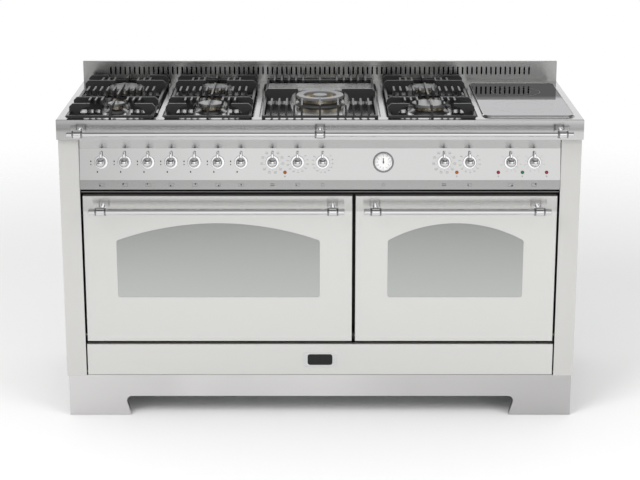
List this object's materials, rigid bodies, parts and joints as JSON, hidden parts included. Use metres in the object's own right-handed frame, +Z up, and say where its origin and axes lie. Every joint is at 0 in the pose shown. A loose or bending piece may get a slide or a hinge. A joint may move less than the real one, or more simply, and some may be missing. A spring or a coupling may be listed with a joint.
{
  "type": "range cooker",
  "caption": "Free-standing stainless range cooker with drop-down oven doors, gas hob with cast-iron grates, glass hotplate, lever knobs, towel rail and storage flap.",
  "frame": {"origin": "on the floor, under the middle of the box round the cooker and its towel rail", "axes": "+X to the right seen from the front, +Y to the back, +Z up; the doors face -Y"},
  "size_m": [1.5, 0.657, 0.97],
  "materials": {
    "stainless": "horizontally brushed stainless steel",
    "galvanised": "dull zinc-coated sheet",
    "black_enamel": "black vitreous enamel",
    "oven_enamel": "dark grey oven enamel with fine specks",
    "seal_rubber": "black silicone seal",
    "chrome": "polished chrome",
    "pin_steel": "plain steel",
    "light_alloy": "satin cast alloy",
    "motor_paint": "grey paint",
    "dark_plastic": "black moulded plastic",
    "lamp_plastic": "clear coloured lenses: amber, red and green",
    "clear_glass": "clear glass",
    "pointer_black": "black paint",
    "door_glass": "grey-green mirrored oven glass",
    "glass_ceramic": "glossy dark glass-ceramic",
    "burner_brass": "cast brass",
    "cap_enamel": "light grey enamel",
    "ceramic": "white ceramic",
    "cast_iron": "matt black enamelled cast iron"
  },
  "bodies": {
    "cooker": {"side_panels": "stainless", "control_fascia": "stainless", "worktop": "stainless", "upstand": "stainless", "plinth": "stainless", "rear_panel": "galvanised", "base_tray": "galvanised", "front_frame": "black_enamel", "left_oven_cavity": "oven_enamel", "right_oven_cavity": "oven_enamel", "fan_covers": "oven_enamel", "oven_gaskets": "seal_rubber", "towel_rail": "chrome", "oven_racks": "chrome", "dial_case": "chrome", "hinge_pins": "pin_steel", "heating_elements": "pin_steel", "gas_manifold": "light_alloy", "burner_cups": "light_alloy", "radiant_heaters": "light_alloy", "fan_motors": "motor_paint", "control_switches": "dark_plastic", "levelling_feet": "dark_plastic", "indicator_lamps": "lamp_plastic", "dial_glass": "clear_glass", "hob_glass": "glass_ceramic", "burner_heads": "burner_brass", "burner_caps": "cap_enamel", "igniters": "ceramic"},
    "left_door": {"left_door_skin": "stainless", "left_door_panes": "door_glass", "left_door_liner": "black_enamel", "left_door_handle": "chrome"},
    "right_door": {"right_door_skin": "stainless", "right_door_panes": "door_glass", "right_door_liner": "black_enamel", "right_door_handle": "chrome"},
    "storage_flap": {"storage_flap": "stainless", "badge_plate": "chrome"},
    "left_fan": {"left_fan": "light_alloy"},
    "right_fan": {"right_fan": "light_alloy"},
    "dial_pointer": {"dial_pointer": "pointer_black"},
    "knob_burner_1": {"knob_burner_1": "chrome"},
    "knob_burner_2": {"knob_burner_2": "chrome"},
    "knob_burner_3": {"knob_burner_3": "chrome"},
    "knob_burner_4": {"knob_burner_4": "chrome"},
    "knob_burner_5": {"knob_burner_5": "chrome"},
    "knob_burner_6": {"knob_burner_6": "chrome"},
    "knob_burner_7": {"knob_burner_7": "chrome"},
    "knob_left_oven_function": {"knob_left_oven_function": "chrome"},
    "knob_left_oven_thermostat": {"knob_left_oven_thermostat": "chrome"},
    "knob_left_oven_timer": {"knob_left_oven_timer": "chrome"},
    "knob_right_oven_function": {"knob_right_oven_function": "chrome"},
    "knob_right_oven_thermostat": {"knob_right_oven_thermostat": "chrome"},
    "knob_front_zone": {"knob_front_zone": "chrome"},
    "knob_rear_zone": {"knob_rear_zone": "chrome"},
    "grate_1": {"grate_1": "cast_iron"},
    "grate_2": {"grate_2": "cast_iron"},
    "grate_wok": {"grate_wok": "cast_iron"},
    "grate_4": {"grate_4": "cast_iron"}
  },
  "joints": [
    {"name": "left_door_hinge", "type": "hinge", "parent": "cooker", "child": "left_door", "pos_m": [-0.2955, -0.2405, 0.251], "axis": [1, 0, 0], "range_deg": [0, 90], "stiffness_Nm_per_rad": 4, "springref_deg": -20.05},
    {"name": "right_door_hinge", "type": "hinge", "parent": "cooker", "child": "right_door", "pos_m": [0.3935, -0.2405, 0.251], "axis": [1, 0, 0], "range_deg": [0, 90], "stiffness_Nm_per_rad": 4, "springref_deg": -20.05},
    {"name": "storage_flap_hinge", "type": "hinge", "parent": "cooker", "child": "storage_flap", "pos_m": [0, -0.2505, 0.139], "axis": [1, 0, 0], "range_deg": [0, 90], "stiffness_Nm_per_rad": 0.25, "springref_deg": -34.38},
    {"name": "knob_burner_1_turn", "type": "hinge", "parent": "cooker", "child": "knob_burner_1", "pos_m": [-0.627, -0.25157, 0.776], "axis": [0, -0.9881, 0.1537], "range_deg": [0, 210]},
    {"name": "knob_burner_2_turn", "type": "hinge", "parent": "cooker", "child": "knob_burner_2", "pos_m": [-0.5602, -0.25157, 0.776], "axis": [0, -0.9881, 0.1537], "range_deg": [0, 210]},
    {"name": "knob_burner_3_turn", "type": "hinge", "parent": "cooker", "child": "knob_burner_3", "pos_m": [-0.4934, -0.25157, 0.776], "axis": [0, -0.9881, 0.1537], "range_deg": [0, 210]},
    {"name": "knob_burner_4_turn", "type": "hinge", "parent": "cooker", "child": "knob_burner_4", "pos_m": [-0.4266, -0.25157, 0.776], "axis": [0, -0.9881, 0.1537], "range_deg": [0, 210]},
    {"name": "knob_burner_5_turn", "type": "hinge", "parent": "cooker", "child": "knob_burner_5", "pos_m": [-0.3598, -0.25157, 0.776], "axis": [0, -0.9881, 0.1537], "range_deg": [0, 210]},
    {"name": "knob_burner_6_turn", "type": "hinge", "parent": "cooker", "child": "knob_burner_6", "pos_m": [-0.293, -0.25157, 0.776], "axis": [0, -0.9881, 0.1537], "range_deg": [0, 210]},
    {"name": "knob_burner_7_turn", "type": "hinge", "parent": "cooker", "child": "knob_burner_7", "pos_m": [-0.2262, -0.25157, 0.776], "axis": [0, -0.9881, 0.1537], "range_deg": [0, 210]},
    {"name": "knob_left_oven_function_turn", "type": "hinge", "parent": "cooker", "child": "knob_left_oven_function", "pos_m": [-0.1365, -0.25157, 0.776], "axis": [0, -0.9881, 0.1537], "range_deg": [-300, 0]},
    {"name": "knob_left_oven_thermostat_turn", "type": "hinge", "parent": "cooker", "child": "knob_left_oven_thermostat", "pos_m": [-0.0645, -0.25157, 0.776], "axis": [0, -0.9881, 0.1537], "range_deg": [-280, 0]},
    {"name": "knob_left_oven_timer_turn", "type": "hinge", "parent": "cooker", "child": "knob_left_oven_timer", "pos_m": [0.0075, -0.25157, 0.776], "axis": [0, -0.9881, 0.1537], "range_deg": [-320, 0]},
    {"name": "knob_right_oven_function_turn", "type": "hinge", "parent": "cooker", "child": "knob_right_oven_function", "pos_m": [0.356, -0.25157, 0.776], "axis": [0, -0.9881, 0.1537], "range_deg": [-300, 0]},
    {"name": "knob_right_oven_thermostat_turn", "type": "hinge", "parent": "cooker", "child": "knob_right_oven_thermostat", "pos_m": [0.429, -0.25157, 0.776], "axis": [0, -0.9881, 0.1537], "range_deg": [-280, 0]},
    {"name": "knob_front_zone_turn", "type": "hinge", "parent": "cooker", "child": "knob_front_zone", "pos_m": [0.547, -0.25157, 0.776], "axis": [0, -0.9881, 0.1537], "range_deg": [-290, 0]},
    {"name": "knob_rear_zone_turn", "type": "hinge", "parent": "cooker", "child": "knob_rear_zone", "pos_m": [0.6144, -0.25157, 0.776], "axis": [0, -0.9881, 0.1537], "range_deg": [-290, 0]},
    {"name": "dial_pointer_turn", "type": "hinge", "parent": "cooker", "child": "dial_pointer", "pos_m": [0.18175, -0.25157, 0.776], "axis": [0, -0.9881, 0.1537], "range_deg": [-330, 0]},
    {"name": "left_fan_spin", "type": "hinge", "parent": "cooker", "child": "left_fan", "pos_m": [-0.2955, 0.19, 0.455], "axis": [0, 1, 0], "continuous": true},
    {"name": "right_fan_spin", "type": "hinge", "parent": "cooker", "child": "right_fan", "pos_m": [0.3935, 0.19, 0.455], "axis": [0, 1, 0], "continuous": true},
    {"name": "grate_1_lift", "type": "slide", "parent": "cooker", "child": "grate_1", "axis": [0, 0, 1], "range_m": [0, 0.12]},
    {"name": "grate_2_lift", "type": "slide", "parent": "cooker", "child": "grate_2", "axis": [0, 0, 1], "range_m": [0, 0.12]},
    {"name": "grate_wok_lift", "type": "slide", "parent": "cooker", "child": "grate_wok", "axis": [0, 0, 1], "range_m": [0, 0.12]},
    {"name": "grate_4_lift", "type": "slide", "parent": "cooker", "child": "grate_4", "axis": [0, 0, 1], "range_m": [0, 0.12]}
  ]
}
